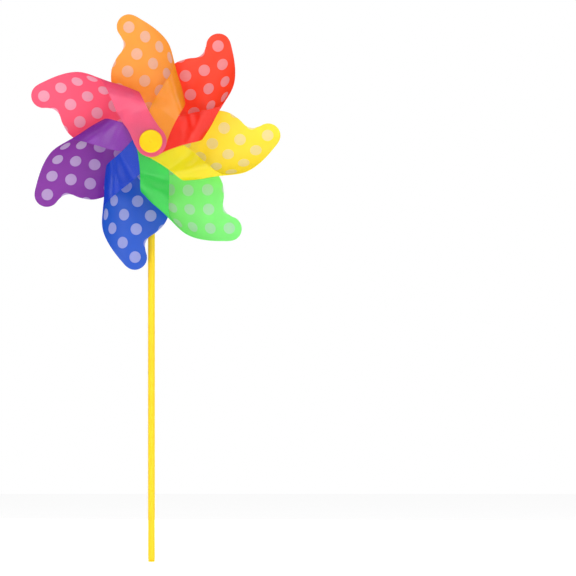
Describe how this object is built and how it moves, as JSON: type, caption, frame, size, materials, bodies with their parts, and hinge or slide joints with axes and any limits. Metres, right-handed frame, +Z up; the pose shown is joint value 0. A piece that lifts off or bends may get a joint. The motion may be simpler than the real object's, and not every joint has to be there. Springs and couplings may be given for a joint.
{
  "type": "pinwheel",
  "caption": "Garden pinwheel on a tall hollow stick: folded plastic leaves in rainbow colours are threaded on a spindle, and the wheel turns freely on a cross pin.",
  "frame": {"origin": "centre of the flat foot of the stick", "axes": "+Z up along the stick, the wheel's front faces -Y, the wheel's axis runs along Y"},
  "size_m": [0.2333, 0.0551, 0.5128],
  "materials": {
    "pink_sheet": "thin satin polypropylene sheet, slightly translucent, printed with pale dots on its outer leaf",
    "orange_sheet": "thin satin polypropylene sheet, slightly translucent, printed with pale dots on its outer leaf",
    "red_sheet": "thin satin polypropylene sheet, slightly translucent, printed with pale dots on its outer leaf",
    "yellow_sheet": "thin satin polypropylene sheet, slightly translucent, printed with pale dots on its outer leaf",
    "green_sheet": "thin satin polypropylene sheet, slightly translucent, printed with pale dots on its outer leaf",
    "blue_sheet": "thin satin polypropylene sheet, slightly translucent, printed with pale dots on its outer leaf",
    "purple_sheet": "thin satin polypropylene sheet, slightly translucent, printed with pale dots on its outer leaf",
    "yellow_stick": "extruded polypropylene tube, satin, slightly translucent",
    "yellow_trim": "moulded plastic, satin",
    "natural_nylon": "natural moulded nylon"
  },
  "bodies": {
    "stick": {"stick_tube": "yellow_stick", "foot_plug": "yellow_trim", "axle_holder": "yellow_trim"},
    "wheel": {"pink_blade": "pink_sheet", "orange_blade": "orange_sheet", "red_blade": "red_sheet", "yellow_blade": "yellow_sheet", "green_blade": "green_sheet", "blue_blade": "blue_sheet", "purple_blade": "purple_sheet", "rotor_core": "yellow_trim", "front_cap": "yellow_trim", "axle_pin": "natural_nylon", "spacer_washer": "natural_nylon", "rear_clip": "yellow_trim"}
  },
  "joints": [
    {"name": "wheel_spin", "type": "hinge", "parent": "stick", "child": "wheel", "pos_m": [0, 0, 0.39375], "axis": [0, 1, 0], "continuous": true}
  ]
}
